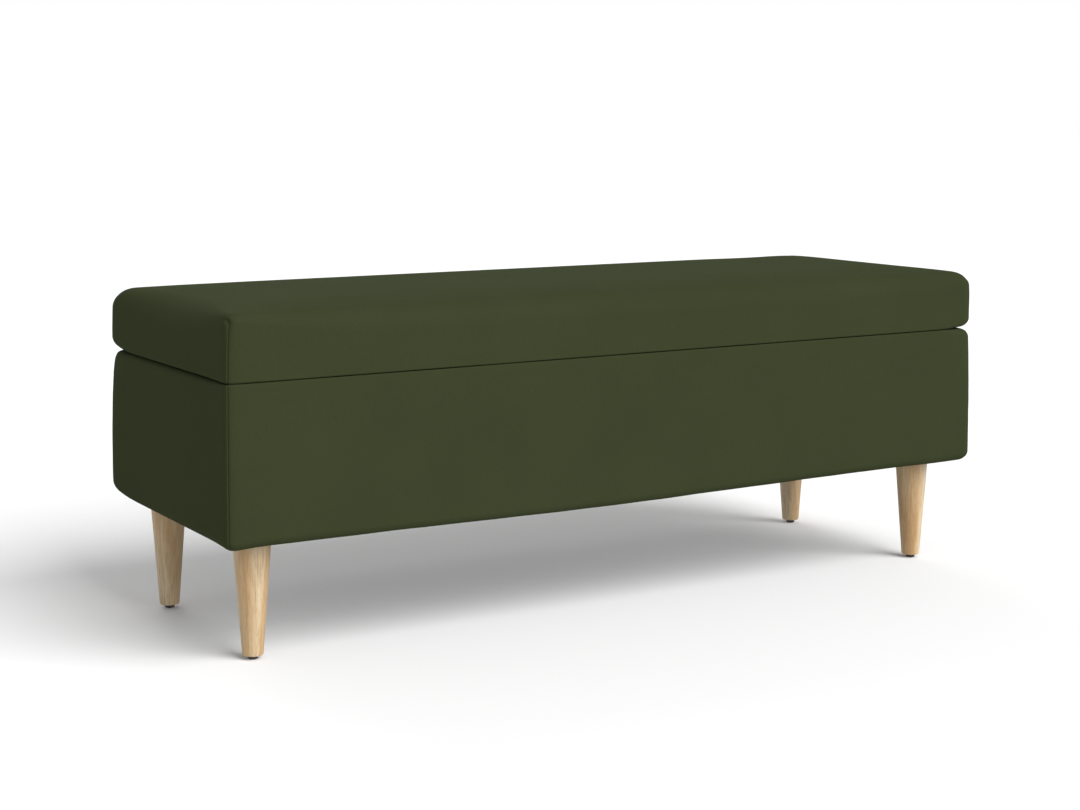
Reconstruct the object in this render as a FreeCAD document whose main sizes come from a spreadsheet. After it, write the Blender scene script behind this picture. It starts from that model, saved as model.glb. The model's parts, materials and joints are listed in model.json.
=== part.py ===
import FreeCAD, Part
import os
import re
import Sketcher
from FreeCAD import Placement, Rotation, Vector

# A storage bench: a padded plywood box on four turned legs, with a padded lid hinged along its back.
# Millimetres. +X runs along the length, -Y is the front and +Z is up. The origin is on the floor,
# below the middle of the bench. Everything is drawn with the lid shut.

SIZES = {
    "bench_length": 1200,
    "bench_depth": 428,
    "rim_height": 354,
    "lid_gap": 3,
    "lid_thickness": 91,
    "cloth_thick": 1.5,
    "foam_thick": 12,
    "ply_thick": 15,
    "floor_thick": 12,
    "lining_thick": 1,
    "corner_round": 14,
    "edge_round": 13,
    "glide_height": 5,
    "glide_radius": 6.6,
    "glide_round": 1.2,
    "nail_radius": 1.5,
    "nail_length": 15,
    "leg_length": 151,
    "leg_foot_radius": 13.25,
    "leg_top_radius": 24.7,
    "leg_foot_round": 1.5,
    "leg_inset_x": 59.5,
    "leg_inset_y": 67,
    "bolt_radius": 4,
    "bolt_in_leg": 40,
    "bolt_in_base": 18,
    "insert_radius": 5.5,
    "insert_length": 13,
    "block_side": 70,
    "block_thick": 18,
    "rail_width": 20,
    "hinge_place": 380,
    "hinge_width": 60,
    "hinge_inset": 3.5,
    "leaf_thick": 1.2,
    "leaf_reach": 26,
    "knuckle_radius": 3,
    "knuckle_play": 0.2,
    "pin_radius": 1.5,
    "pin_play": 0.05,
    "pin_head_radius": 2.2,
    "pin_head_thick": 0.8,
    "hinge_screw_pitch": 20,
    "lid_swing": 95,
    "stay_radius": 85,
    "stay_lean": 17.5,
    "stay_half_angle": 10,
    "stay_width": 16,
    "stay_thick": 2,
    "stay_play": 0.3,
    "slot_play": 0.1,
    "slot_spare": 1,
    "stud_radius": 3,
    "stud_head_radius": 5,
    "stud_plate_side": 36,
    "stud_plate_thick": 2,
    "stud_shoulder": 1.7,
    "stud_head_thick": 1.5,
    "rivet_radius": 2.5,
    "rivet_head_radius": 4.5,
    "rivet_head_thick": 1.5,
    "rivet_tail_thick": 0.9,
    "bracket_flange": 25,
    "bracket_width": 32,
    "bracket_thick": 2,
    "fixing_screw_radius": 1.75,
    "fixing_screw_head_radius": 3.2,
    "fixing_screw_head_thick": 1.2,
    "fixing_screw_length": 14,
    "plate_fixing_offset": 12,
    "bracket_fixing_offset": 10,
    "bracket_fixing_inset": 12,
    "leaf_screw_radius": 1.5,
    "leaf_screw_head_radius": 2.8,
    "leaf_screw_length": 14,
    "panel_screw_radius": 2,
    "panel_screw_head_radius": 4,
    "panel_screw_length": 45,
    "panel_screw_margin": 30,
    "panel_screw_pitch": 68,
    "floor_screw_radius": 1.75,
    "floor_screw_head_radius": 3.5,
    "floor_screw_length": 26,
    "block_screw_offset": 24,
    "rail_screw_pitch": 300,
    "centre_screw_offset": 80,
    "sunk_head_thick": 1.6,
    "bumper_radius": 6,
    "bumper_height": 2.7,
    "bumper_on_front": 520,
    "bumper_on_end": 40,
}

# Sums that several pieces share. Each is a formula in the sizes above.
PLY_X = "(bench_length / 2 - cloth_thick - foam_thick)"
PLY_Y = "(bench_depth / 2 - cloth_thick - foam_thick)"
PLY_IN_X = f"({PLY_X} - ply_thick)"
PLY_IN_Y = f"({PLY_Y} - ply_thick)"
BASE_LOW = "(glide_height + leg_length)"
PLY_LOW = f"({BASE_LOW} + cloth_thick)"
PLY_TOP = "(rim_height - cloth_thick)"
FLOOR_LOW = f"({PLY_LOW} + block_thick)"
FLOOR_TOP = f"({FLOOR_LOW} + floor_thick)"
LID_LOW = "(rim_height + lid_gap)"
LID_TOP = f"({LID_LOW} + lid_thickness)"
BOARD_LOW = f"({LID_LOW} + cloth_thick)"
BOARD_TOP = f"({BOARD_LOW} + ply_thick)"
LEG_X = "(bench_length / 2 - leg_inset_x)"
LEG_Y = "(bench_depth / 2 - leg_inset_y)"
AXIS_Y = "(bench_depth / 2 - hinge_inset)"
AXIS_Z = "(rim_height + lid_gap / 2)"
LEAF_SCREW_Y = f"({PLY_Y} - ply_thick / 2)"

# The stay. Its stud on the base and its rivet on the lid are equally far from the hinge's axis, so the
# arm turns by exactly half of what the lid turns by, and the stud keeps to the middle of the slot.
STUD_Y = f"({AXIS_Y} - stay_radius * cos(stay_lean + stay_half_angle))"
STUD_Z = f"({AXIS_Z} - stay_radius * sin(stay_lean + stay_half_angle))"
RIVET_Y = f"({AXIS_Y} - stay_radius * cos(stay_lean - stay_half_angle))"
RIVET_Z = f"({AXIS_Z} - stay_radius * sin(stay_lean - stay_half_angle))"
STUD_SHUT = "(2 * stay_radius * sin(stay_half_angle))"
STUD_OPEN = "(2 * stay_radius * sin(stay_half_angle + lid_swing / 2))"

# Stations of the stay along X, counted inward from the lining's inner face at the bench's end.
END_FACE = f"({PLY_IN_X} - lining_thick)"
PLATE_FACE = f"({END_FACE} - stud_plate_thick)"
ARM_OUT = f"({PLATE_FACE} - stud_shoulder - stay_play)"
ARM_IN = f"({ARM_OUT} - stay_thick)"
EAR_OUT = f"({ARM_IN} - stay_play)"
EAR_IN = f"({EAR_OUT} - bracket_thick)"

TURNS = {
    "+x": (Rotation(Vector(0, 1, 0), 90), 0, 1),
    "-x": (Rotation(Vector(0, 1, 0), -90), 0, -1),
    "+y": (Rotation(Vector(1, 0, 0), -90), 1, 1),
    "-y": (Rotation(Vector(1, 0, 0), 90), 1, -1),
    "+z": (Rotation(), 2, 1),
    "-z": (Rotation(Vector(1, 0, 0), 180), 2, -1),
}

doc = FreeCAD.newDocument("storage_bench")
pieces = []


def write_sizes():
    """The sheet that drives every piece: a name, its value and an alias on each row."""
    sheet = doc.addObject("Spreadsheet::Sheet", "Sizes")
    for row, (name, value) in enumerate(SIZES.items(), start=1):
        sheet.set(f"A{row}", name)
        sheet.set(f"B{row}", str(value))
        sheet.setAlias(f"B{row}", name)
    doc.recompute()


def bind(thing, **formulas):
    """Binds properties to formulas in the sheet. Two underscores in a keyword stand for a dot."""
    for keyword, formula in formulas.items():
        linked = re.sub(r"[a-z]\w*_\w+", lambda word: "Sizes." + word.group(), str(formula))
        thing.setExpression(keyword.replace("__", "."), linked)


def piece(thing, label):
    """Names a finished sub-part, which is written out under that name."""
    thing.Label = label
    pieces.append(thing)
    return thing


def block(name, x, y, z):
    """A box between two corners, each side given as a pair of formulas."""
    box = doc.addObject("Part::Box", name)
    bind(box, Placement__Base__x=x[0], Placement__Base__y=y[0], Placement__Base__z=z[0])
    bind(box, Length=f"({x[1]}) - ({x[0]})", Width=f"({y[1]}) - ({y[0]})", Height=f"({z[1]}) - ({z[0]})")
    return box


def turned(name, at, toward, sections):
    """Round stock along one axis. Each section is a radius with its start and end, measured from at."""
    rotation, along, sign = TURNS[toward]
    rods = []
    for radius, start, end in sections:
        rod = doc.addObject("Part::Cylinder", name + "_rod")
        rod.Placement = Placement(Vector(), rotation)
        place = [str(value) for value in at]
        place[along] = f"{place[along]} + ({sign}) * ({start})"
        bind(rod, Placement__Base__x=place[0], Placement__Base__y=place[1], Placement__Base__z=place[2])
        bind(rod, Radius=radius, Height=f"({end}) - ({start})")
        rods.append(rod)
    return joined(name, rods) if len(rods) > 1 else rods[0]


def joined(name, things):
    """One solid from touching ones."""
    union = doc.addObject("Part::MultiFuse", name)
    union.Shapes = things
    union.Refine = True
    return union


def gathered(name, things):
    """Separate solids kept together as one sub-part."""
    group = doc.addObject("Part::Compound", name)
    group.Links = things
    return group


def cut(name, base, tool):
    """What is left of base once tool is taken away."""
    result = doc.addObject("Part::Cut", name)
    result.Base = base
    result.Tool = tool
    return result


def common(name, one, other):
    """What two solids share."""
    result = doc.addObject("Part::MultiCommon", name)
    result.Shapes = [one, other]
    return result


def mirrored_span(side, low, high):
    """The pair of formulas from low to high on one side of the middle."""
    return (low, high) if side > 0 else (f"-({high})", f"-({low})")


def sketch_on(body, role, name, points):
    """A closed outline of straight lines on one of the body's own planes, each corner bound to a formula."""
    sketch = body.newObject("Sketcher::SketchObject", name)
    plane = next(part for part in body.Origin.OriginFeatures if part.Role == role)
    sketch.AttachmentSupport = [(plane, "")]
    sketch.MapMode = "FlatFace"
    count = len(points)
    for k in range(count):
        start = Vector(k % 3 + 1, k + 1, 0)
        end = Vector((k + 1) % count % 3 + 1, (k + 1) % count + 1, 0)
        sketch.addGeometry(Part.LineSegment(start, end), False)
    for k in range(count):
        sketch.addConstraint(Sketcher.Constraint("Coincident", k, 2, (k + 1) % count, 1))
    for k, point in enumerate(points):
        for kind, axis, formula in (("DistanceX", -2, point[0]), ("DistanceY", -1, point[1])):
            if formula == "0":
                sketch.addConstraint(Sketcher.Constraint("PointOnObject", k, 1, axis))
            else:
                number = sketch.addConstraint(Sketcher.Constraint(kind, -1, 1, k, 1, float(k + 1)))
                bind(sketch, **{f"Constraints[{number}]": formula})
    return sketch


def round_edges(body, name, radius, wanted):
    """Rounds the edges of the body's last feature that wanted picks."""
    doc.recompute()
    base = body.Tip
    names = [f"Edge{k}" for k, edge in enumerate(base.Shape.Edges, start=1) if wanted(edge)]
    fillet = body.newObject("PartDesign::Fillet", name)
    fillet.Base = (base, names)
    bind(fillet, Radius=radius)
    body.Tip = fillet
    return fillet


def is_upright(edge):
    """True for a straight edge along Z."""
    box = edge.BoundBox
    return box.XLength < 1e-6 and box.YLength < 1e-6


def is_level(edge):
    """True for an edge that lies in one horizontal plane."""
    return edge.BoundBox.ZLength < 1e-6


def padded_block(name, inset, low, top):
    """The rounded block that the upholstery fills, taken in by inset on every side."""
    body = doc.addObject("PartDesign::Body", name)
    half_x = f"(bench_length / 2 - {inset})"
    half_y = f"(bench_depth / 2 - {inset})"
    corners = [
        (f"-{half_x}", f"-{half_y}"),
        (half_x, f"-{half_y}"),
        (half_x, half_y),
        (f"-{half_x}", half_y),
    ]
    outline = sketch_on(body, "XY_Plane", name + "_outline", corners)
    pad = body.newObject("PartDesign::Pad", name + "_pad")
    pad.Profile = outline
    bind(pad, Length=f"({top}) - ({low})")
    round_edges(body, name + "_corners", f"corner_round - {inset}", is_upright)
    round_edges(body, name + "_edges", f"edge_round - {inset}", is_level)
    bind(body, Placement__Base__z=low)
    return body


def make_leg(label, side_x, side_y):
    """A turned, tapered leg with a hole for the glide's nail below and for the hanger bolt above."""
    body = doc.addObject("PartDesign::Body", label)
    nail_top = "(glide_height + nail_length)"
    bolt_low = f"({BASE_LOW} - bolt_in_leg)"
    outline = [
        ("nail_radius", "glide_height"),
        ("leg_foot_radius", "glide_height"),
        ("leg_top_radius", BASE_LOW),
        ("bolt_radius", BASE_LOW),
        ("bolt_radius", bolt_low),
        ("0", bolt_low),
        ("0", nail_top),
        ("nail_radius", nail_top),
    ]
    turn_profile(body, label, outline)
    foot = float(doc.Sizes.get("leg_foot_radius"))
    height = float(doc.Sizes.get("glide_height"))

    def is_foot_edge(edge):
        """True for the outer edge round the leg's foot."""
        box = edge.BoundBox
        return box.ZLength < 1e-6 and abs(box.ZMin - height) < 1e-3 and abs(box.XMax - foot) < 1e-3

    round_edges(body, label + "_foot", "leg_foot_round", is_foot_edge)
    place_at_leg(body, side_x, side_y)
    return piece(body, label)


def make_glide(label, side_x, side_y):
    """A hard plastic glide on its nail."""
    body = doc.addObject("PartDesign::Body", label)
    outline = [
        ("0", "0"),
        ("glide_radius - glide_round", "0"),
        ("glide_radius", "glide_round"),
        ("glide_radius", "glide_height"),
        ("nail_radius", "glide_height"),
        ("nail_radius", "glide_height + nail_length"),
        ("0", "glide_height + nail_length"),
    ]
    turn_profile(body, label, outline)
    place_at_leg(body, side_x, side_y)
    return piece(body, label)


def turn_profile(body, name, outline):
    """A full revolution of an outline about the body's own Z axis."""
    profile = sketch_on(body, "XZ_Plane", name + "_outline", outline)
    spin = body.newObject("PartDesign::Revolution", name + "_turning")
    spin.Profile = profile
    spin.ReferenceAxis = (profile, ["V_Axis"])
    spin.Angle = 360
    body.Tip = spin


def place_at_leg(thing, side_x, side_y):
    """Moves a sub-part to the leg on those sides."""
    bind(thing, Placement__Base__x=f"{side_x} * {LEG_X}", Placement__Base__y=f"{side_y} * {LEG_Y}")


def each_leg():
    """The four legs' places, as a name with its sides along X and Y."""
    for name_y, side_y in (("front", -1), ("back", 1)):
        for name_x, side_x in (("left", -1), ("right", 1)):
            yield f"{name_y}_{name_x}", side_x, side_y


def make_legs():
    """Legs, glides, hanger bolts and the threaded inserts that take them."""
    bolts = []
    inserts = []
    for name, side_x, side_y in each_leg():
        make_leg("leg_" + name, side_x, side_y)
        make_glide("glide_" + name, side_x, side_y)
        foot = (f"{side_x} * {LEG_X}", f"{side_y} * {LEG_Y}", BASE_LOW)
        bolts.append(turned("bolt", foot, "+z", [("bolt_radius", "-bolt_in_leg", "bolt_in_base")]))
        start, end = "cloth_thick", "cloth_thick + insert_length"
        barrel = turned("insert_barrel", foot, "+z", [("insert_radius", start, end)])
        thread = turned("insert_thread", foot, "+z", [("bolt_radius", start, end)])
        inserts.append(cut("insert", barrel, thread))
    piece(gathered("bolts", bolts), "hanger_bolts")
    piece(gathered("inserts", inserts), "threaded_inserts")


def make_bottom_frame():
    """Leg blocks and rails under the floor panel, with the panel and the screws that hold them."""
    blocks = []
    screws = []
    levels = (PLY_LOW, FLOOR_LOW)
    for name, side_x, side_y in each_leg():
        span_x = mirrored_span(side_x, f"{PLY_IN_X} - block_side", PLY_IN_X)
        span_y = mirrored_span(side_y, f"{PLY_IN_Y} - block_side", PLY_IN_Y)
        solid = block("block_" + name, span_x, span_y, levels)
        foot = (f"{side_x} * {LEG_X}", f"{side_y} * {LEG_Y}", PLY_LOW)
        hole = turned("block_hole", foot, "+z", [("insert_radius", "0", "block_thick")])
        blocks.append(cut("drilled_" + name, solid, hole))
        for step in (-1, 1):
            x = f"{side_x} * ({PLY_IN_X} - block_side / 2 + {step} * block_screw_offset)"
            y = f"{side_y} * ({PLY_IN_Y} - block_side / 2 - {step} * block_screw_offset)"
            screws.append(floor_screw(x, y))
    piece(gathered("blocks", blocks), "leg_blocks")

    rail_x = (f"-({PLY_IN_X} - block_side)", f"{PLY_IN_X} - block_side")
    for name, side in (("front", -1), ("back", 1)):
        span_y = mirrored_span(side, f"{PLY_IN_Y} - rail_width", PLY_IN_Y)
        piece(block("rail_" + name, rail_x, span_y, levels), "floor_rail_" + name)
        for step in (-1, 0, 1):
            screws.append(floor_screw(f"{step} * rail_screw_pitch", f"{side} * ({PLY_IN_Y} - rail_width / 2)"))
    span_y = (f"-({PLY_IN_Y} - rail_width)", f"{PLY_IN_Y} - rail_width")
    centre = block("rail_centre", ("-rail_width / 2", "rail_width / 2"), span_y, levels)
    piece(centre, "floor_rail_centre")
    for side in (-1, 1):
        screws.append(floor_screw("0", f"{side} * centre_screw_offset"))
    piece(gathered("floor_fixings", screws), "floor_screws")

    span_x = (f"-{PLY_IN_X}", PLY_IN_X)
    span_y = (f"-{PLY_IN_Y}", PLY_IN_Y)
    piece(block("floor", span_x, span_y, (FLOOR_LOW, FLOOR_TOP)), "floor_panel")


def screw(at, toward, kind, head_start, head_end):
    """One screw of a kind, from at along an axis, with its head between two distances from at."""
    sections = [(f"{kind}_head_radius", head_start, head_end), (f"{kind}_radius", head_end, f"{kind}_length")]
    return turned("screw", at, toward, sections)


def floor_screw(x, y):
    """A screw down through the floor panel, its head sunk flush."""
    return screw((x, y, FLOOR_TOP), "-z", "floor_screw", "0", "sunk_head_thick")


def make_box():
    """The four plywood sides and the screws through their corners."""
    levels = (PLY_LOW, PLY_TOP)
    long_x = (f"-{PLY_X}", PLY_X)
    short_y = (f"-{PLY_IN_Y}", PLY_IN_Y)
    for name, side in (("front", -1), ("back", 1)):
        piece(block("side_" + name, long_x, mirrored_span(side, PLY_IN_Y, PLY_Y), levels), "panel_" + name)
    for name, side in (("left", -1), ("right", 1)):
        piece(block("side_" + name, mirrored_span(side, PLY_IN_X, PLY_X), short_y, levels), "panel_" + name)
    screws = []
    for _, side_x, side_y in each_leg():
        toward = "+y" if side_y < 0 else "-y"
        for step in range(3):
            height = f"{PLY_LOW} + panel_screw_margin + {step} * panel_screw_pitch"
            at = (f"{side_x} * ({PLY_X} - ply_thick / 2)", f"{side_y} * {PLY_Y}", height)
            screws.append(screw(at, toward, "panel_screw", "0", "sunk_head_thick"))
    piece(gathered("corner_fixings", screws), "panel_screws")


def make_base_upholstery():
    """Foam slabs on the four sides, the sewn cover over them, the lining and the dust cover."""
    outer = padded_block("base_outer", "0", BASE_LOW, "rim_height")
    core = padded_block("base_core", "cloth_thick", PLY_LOW, PLY_TOP)
    levels = (BASE_LOW, "rim_height")
    full_x = ("-bench_length / 2", "bench_length / 2")
    for name, side in (("front", -1), ("back", 1)):
        slab = block("slab_" + name, full_x, mirrored_span(side, PLY_Y, "bench_depth / 2"), levels)
        piece(common("foam_" + name, core, slab), "base_foam_" + name)
    for name, side in (("left", -1), ("right", 1)):
        span_x = mirrored_span(side, PLY_X, "bench_length / 2")
        slab = block("slab_" + name, span_x, (f"-{PLY_Y}", PLY_Y), levels)
        piece(common("foam_" + name, core, slab), "base_foam_" + name)

    mouth_x = (f"-{PLY_IN_X}", PLY_IN_X)
    mouth_y = (f"-{PLY_IN_Y}", PLY_IN_Y)
    mouth = block("base_mouth", mouth_x, mouth_y, levels)
    piece(cut("base_sleeve", cut("base_skin", outer, core), mouth), "base_cover")

    lining_out = block("lining_out", mouth_x, mouth_y, (FLOOR_TOP, PLY_TOP))
    half_x = f"({PLY_IN_X} - lining_thick)"
    half_y = f"({PLY_IN_Y} - lining_thick)"
    hollow = (f"{FLOOR_TOP} + lining_thick", PLY_TOP)
    inside = block("lining_in", (f"-{half_x}", half_x), (f"-{half_y}", half_y), hollow)
    piece(cut("lining", lining_out, inside), "storage_lining")

    cloth = block("dust_cloth", mouth_x, mouth_y, (BASE_LOW, PLY_LOW))
    holes = []
    for _, side_x, side_y in each_leg():
        foot = (f"{side_x} * {LEG_X}", f"{side_y} * {LEG_Y}", BASE_LOW)
        holes.append(turned("cloth_hole", foot, "+z", [("insert_radius", "0", "cloth_thick")]))
    piece(cut("dust_cloth_cut", cloth, gathered("cloth_holes", holes)), "dust_cover")

    bumpers = []
    for side in (-1, 1):
        on_front = (f"{side} * bumper_on_front", f"-({PLY_Y} - ply_thick / 2)", "rim_height")
        on_end = (f"{side} * ({PLY_X} - ply_thick / 2)", "bumper_on_end", "rim_height")
        for at in (on_front, on_end):
            bumpers.append(turned("bumper", at, "+z", [("bumper_radius", "0", "bumper_height")]))
    piece(gathered("bumpers", bumpers), "rim_bumpers")


def make_lid():
    """The lid's board, the foam over and round it, the sewn cover and the cloth under it."""
    outer = padded_block("lid_outer", "0", LID_LOW, LID_TOP)
    core = padded_block("lid_core", "cloth_thick", BOARD_LOW, f"{LID_TOP} - cloth_thick")
    board = block("board", (f"-{PLY_X}", PLY_X), (f"-{PLY_Y}", PLY_Y), (BOARD_LOW, BOARD_TOP))
    piece(board, "lid_board")
    piece(cut("lid_padding", core, board), "lid_foam")
    mouth_x = (f"-{PLY_IN_X}", PLY_IN_X)
    mouth_y = (f"-{PLY_IN_Y}", PLY_IN_Y)
    levels = (LID_LOW, BOARD_LOW)
    mouth = block("lid_mouth", mouth_x, mouth_y, levels)
    piece(cut("lid_sleeve", cut("lid_skin", outer, core), mouth), "lid_cover")
    piece(block("under_cloth", mouth_x, mouth_y, levels), "lid_undercloth")


def hinge_leaf(name, centre, leaf_low, own_knuckles, bore):
    """A hinge's leaf: a plate, the knuckles it keeps out of five, and three screw holes."""
    half = "hinge_width / 2"
    axis = (f"{centre} - {half}", AXIS_Y, AXIS_Z)
    plate = block(
        name + "_plate",
        (f"{centre} - {half}", f"{centre} + {half}"),
        (f"{AXIS_Y} - leaf_reach", AXIS_Y),
        (leaf_low, f"{leaf_low} + leaf_thick"),
    )
    barrel = turned(name + "_barrel", axis, "+x", [("knuckle_radius", "0", "hinge_width")])
    tools = [turned(name + "_bore", axis, "+x", [(bore, "0", "hinge_width")])]
    reach = "(knuckle_radius + 2 * knuckle_play)"
    for k in range(5):
        if k not in own_knuckles:
            start = f"{centre} - {half} + {k} * hinge_width / 5"
            tools.append(
                block(
                    name + "_gap",
                    (f"{start} - knuckle_play", f"{start} + hinge_width / 5 + knuckle_play"),
                    (f"{AXIS_Y} - {reach}", f"{AXIS_Y} + {reach}"),
                    (f"{AXIS_Z} - {reach}", f"{AXIS_Z} + {reach}"),
                )
            )
    for x in hinge_screw_places(centre):
        seat = (x, LEAF_SCREW_Y, leaf_low)
        tools.append(turned(name + "_hole", seat, "+z", [("leaf_screw_head_radius", "0", "leaf_thick")]))
    return cut(name, joined(name + "_whole", [plate, barrel]), joined(name + "_tools", tools))


def hinge_screw_places(centre):
    """The three screws' places along X."""
    return [f"{centre} + {k} * hinge_screw_pitch" for k in (-1, 0, 1)]


def make_hinges():
    """Two butt hinges lying in the groove between the lid and the rim."""
    pins = []
    base_screws = []
    lid_screws = []
    for name, side in (("left", -1), ("right", 1)):
        centre = f"({side}) * hinge_place"
        lid_leaf_low = f"({LID_LOW} - leaf_thick)"
        fixed = hinge_leaf("fixed_leaf_" + name, centre, "rim_height", (0, 2, 4), "pin_radius")
        moving = hinge_leaf("moving_leaf_" + name, centre, lid_leaf_low, (1, 3), "pin_radius + pin_play")
        piece(fixed, "hinge_base_leaf_" + name)
        piece(moving, "hinge_lid_leaf_" + name)
        at = (f"{centre} - hinge_width / 2", AXIS_Y, AXIS_Z)
        sections = [
            ("pin_head_radius", "-pin_head_thick", "0"),
            ("pin_radius", "0", "hinge_width"),
            ("pin_head_radius", "hinge_width", "hinge_width + pin_head_thick"),
        ]
        pins.append(turned("pin", at, "+x", sections))
        for x in hinge_screw_places(centre):
            in_rim = (x, LEAF_SCREW_Y, "rim_height + leaf_thick")
            in_board = (x, LEAF_SCREW_Y, lid_leaf_low)
            base_screws.append(screw(in_rim, "-z", "leaf_screw", "0", "leaf_thick"))
            lid_screws.append(screw(in_board, "+z", "leaf_screw", "0", "leaf_thick"))
    piece(gathered("pins", pins), "hinge_pins")
    piece(gathered("base_hinge_fixings", base_screws), "hinge_base_screws")
    piece(gathered("lid_hinge_fixings", lid_screws), "hinge_lid_screws")


def make_stay(name, side):
    """One lid stay: the slotted arm, the stud plate on the end panel and the bracket under the lid."""
    inward = "+x" if side < 0 else "-x"
    sign = f"({side})"

    arm = slotted_arm("arm_" + name)
    lean = Rotation(Vector(1, 0, 0), float(doc.Sizes.get("stay_lean")))
    arm.Placement = Placement(Vector(), lean)
    arm_low = ARM_IN if side > 0 else f"-{ARM_OUT}"
    bind(arm, Placement__Base__x=arm_low, Placement__Base__y=RIVET_Y, Placement__Base__z=RIVET_Z)
    bind(arm, Placement__Rotation__Angle="stay_lean")
    piece(arm, "stay_arm_" + name)

    plate_y = (f"{STUD_Y} - stud_plate_side / 2", f"{STUD_Y} + stud_plate_side / 2")
    plate_z = (f"{STUD_Z} - stud_plate_side / 2", f"{STUD_Z} + stud_plate_side / 2")
    plate = block("stud_plate_" + name, mirrored_span(side, PLATE_FACE, END_FACE), plate_y, plate_z)
    stud_seat = (f"{sign} * {PLATE_FACE}", STUD_Y, STUD_Z)
    head_start = f"({PLATE_FACE} - {EAR_OUT})"
    stud = turned(
        "stud_" + name,
        stud_seat,
        inward,
        [
            ("stud_head_radius", "0", "stud_shoulder"),
            ("stud_radius", "0", head_start),
            ("stud_head_radius", head_start, f"{head_start} + stud_head_thick"),
        ],
    )
    outward = "-x" if side < 0 else "+x"
    holes = []
    plate_screws = []
    for step in (-1, 1):
        seat = (f"{sign} * {PLATE_FACE}", STUD_Y, f"{STUD_Z} + {step} * plate_fixing_offset")
        holes.append(turned("plate_hole", seat, outward, [("fixing_screw_radius", "0", "stud_plate_thick")]))
        plate_screws.append(screw(seat, outward, "fixing_screw", "-fixing_screw_head_thick", "0"))
    whole_plate = joined("stud_and_plate_" + name, [plate, stud])
    bored = cut("bored_plate_" + name, whole_plate, gathered("plate_holes_" + name, holes))
    piece(bored, "stay_stud_" + name)

    flange_x = mirrored_span(side, f"{EAR_OUT} - bracket_flange", EAR_OUT)
    flange_y = (f"{RIVET_Y} - bracket_width / 2", f"{RIVET_Y} + bracket_width / 2")
    flange = block("flange_" + name, flange_x, flange_y, (f"{LID_LOW} - bracket_thick", LID_LOW))
    ear_y = (f"{RIVET_Y} - stay_width / 2", f"{RIVET_Y} + stay_width / 2")
    ear = block("ear_" + name, mirrored_span(side, EAR_IN, EAR_OUT), ear_y, (RIVET_Z, LID_LOW))
    ear_at = (f"{sign} * {EAR_OUT}", RIVET_Y, RIVET_Z)
    tip = turned("ear_tip_" + name, ear_at, inward, [("stay_width / 2", "0", "bracket_thick")])
    tools = [turned("ear_hole_" + name, ear_at, inward, [("rivet_radius", "0", "bracket_thick")])]
    bracket_screws = []
    for step in (-1, 1):
        x = f"{sign} * ({EAR_IN} - bracket_fixing_inset)"
        seat = (x, f"{RIVET_Y} + {step} * bracket_fixing_offset", f"{LID_LOW} - bracket_thick")
        tools.append(turned("flange_hole", seat, "+z", [("fixing_screw_radius", "0", "bracket_thick")]))
        bracket_screws.append(screw(seat, "+z", "fixing_screw", "-fixing_screw_head_thick", "0"))
    whole = joined("bracket_whole_" + name, [flange, ear, tip])
    piece(cut("bracket_cut_" + name, whole, gathered("bracket_tools_" + name, tools)), "stay_bracket_" + name)

    rivet_seat = (f"{sign} * {EAR_IN}", RIVET_Y, RIVET_Z)
    rivet_end = f"({ARM_OUT} - {EAR_IN} + stay_play)"
    rivet = turned(
        "rivet_" + name,
        rivet_seat,
        outward,
        [
            ("rivet_head_radius", "-rivet_head_thick", "0"),
            ("rivet_radius", "0", rivet_end),
            ("rivet_head_radius", rivet_end, f"{rivet_end} + rivet_tail_thick"),
        ],
    )
    return rivet, plate_screws, bracket_screws


def slotted_arm(name):
    """A flat arm hanging from its pivot, with round ends, a pivot hole and a long slot for the stud."""
    slot_half = "(stud_radius + slot_play)"
    slot_top = f"({STUD_SHUT} - slot_spare)"
    slot_end = f"({STUD_OPEN} + slot_play)"
    along_x = ("0", "stay_thick")
    plate = [
        block(name + "_flat", along_x, ("-stay_width / 2", "stay_width / 2"), (f"-{slot_end}", "0")),
        turned(name + "_top", (0, 0, 0), "+x", [("stay_width / 2", "0", "stay_thick")]),
        turned(name + "_low", (0, 0, f"-{slot_end}"), "+x", [("stay_width / 2", "0", "stay_thick")]),
    ]
    openings = [
        block(name + "_slot", along_x, (f"-{slot_half}", slot_half), (f"-{slot_end}", f"-{slot_top}")),
        turned(name + "_slot_top", (0, 0, f"-{slot_top}"), "+x", [(slot_half, "0", "stay_thick")]),
        turned(name + "_slot_low", (0, 0, f"-{slot_end}"), "+x", [(slot_half, "0", "stay_thick")]),
        turned(name + "_eye", (0, 0, 0), "+x", [("rivet_radius + pin_play", "0", "stay_thick")]),
    ]
    return cut(name, joined(name + "_plate", plate), gathered(name + "_openings", openings))


def make_stays():
    """A stay at each end of the lid."""
    rivets = []
    plate_screws = []
    bracket_screws = []
    for name, side in (("left", -1), ("right", 1)):
        rivet, in_panel, in_lid = make_stay(name, side)
        rivets.append(rivet)
        plate_screws.extend(in_panel)
        bracket_screws.extend(in_lid)
    piece(gathered("rivets", rivets), "stay_rivets")
    piece(gathered("plate_fixings", plate_screws), "stay_stud_screws")
    piece(gathered("bracket_fixings", bracket_screws), "stay_bracket_screws")


def write_pieces():
    """Checks every object and writes each sub-part to its own file."""
    doc.recompute()
    failed = [thing.Name for thing in doc.Objects if {"Invalid", "Error"} & set(thing.State)]
    if failed:
        raise RuntimeError(f"these objects failed to compute: {failed}")
    os.makedirs("parts", exist_ok=True)
    for thing in pieces:
        shape = thing.Shape
        if shape.isNull() or not shape.isValid() or not shape.Solids:
            raise RuntimeError(f"{thing.Label} has no valid solid")
        shape.exportStep(f"parts/{thing.Label}.step")
        print(f"{thing.Label}: {len(shape.Solids)} solids, {shape.Volume / 1000:.2f} cm3")


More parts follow.
